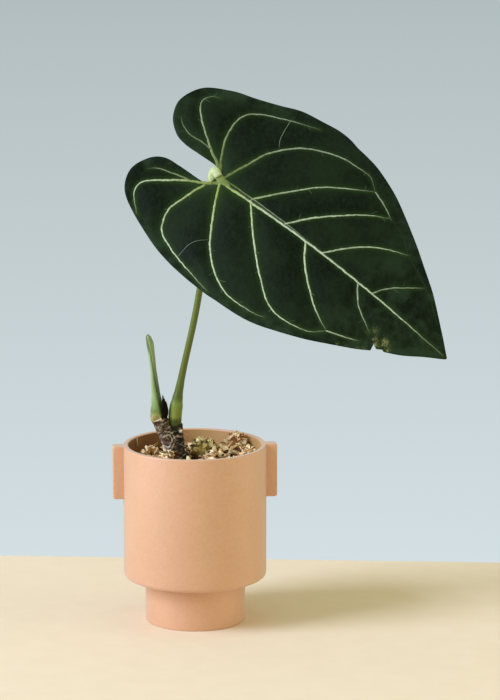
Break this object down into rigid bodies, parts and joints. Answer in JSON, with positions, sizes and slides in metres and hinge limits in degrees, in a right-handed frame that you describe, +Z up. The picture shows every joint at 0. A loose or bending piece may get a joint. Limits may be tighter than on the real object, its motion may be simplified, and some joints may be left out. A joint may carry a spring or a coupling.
{
  "type": "potted anthurium regale",
  "caption": "Velvet-leaved aroid with a large heart-shaped veined leaf and a new shoot, growing in a footed matte ceramic pot with flat side tabs.",
  "frame": {"origin": "centre of the flat underside of the pot's foot, on the pot's turning axis", "axes": "+Z up, the pot's tabs along X, the blade's tip towards +X and -Y, and the blade's upper face towards -Y"},
  "size_m": [0.2839, 0.1618, 0.4697],
  "materials": {
    "ceramic": "matte",
    "bark_mix": "matte",
    "dry_moss": "matte",
    "rhizome": "matte",
    "stalk": "satin",
    "young_leaf": "satin",
    "dry_sheath": "matte",
    "velvet_leaf": "matte"
  },
  "bodies": {
    "root": {"pot": "ceramic", "potting_mix": "bark_mix", "moss_clump_1": "dry_moss", "moss_clump_2": "dry_moss", "moss_clump_3": "dry_moss", "moss_clump_4": "dry_moss", "moss_clump_5": "dry_moss", "moss_clump_6": "dry_moss", "moss_clump_7": "dry_moss", "moss_clump_8": "dry_moss", "rhizome": "rhizome", "petiole": "stalk", "new_shoot": "young_leaf", "dried_sheath": "dry_sheath", "leaf_blade": "velvet_leaf"}
  },
  "joints": []
}
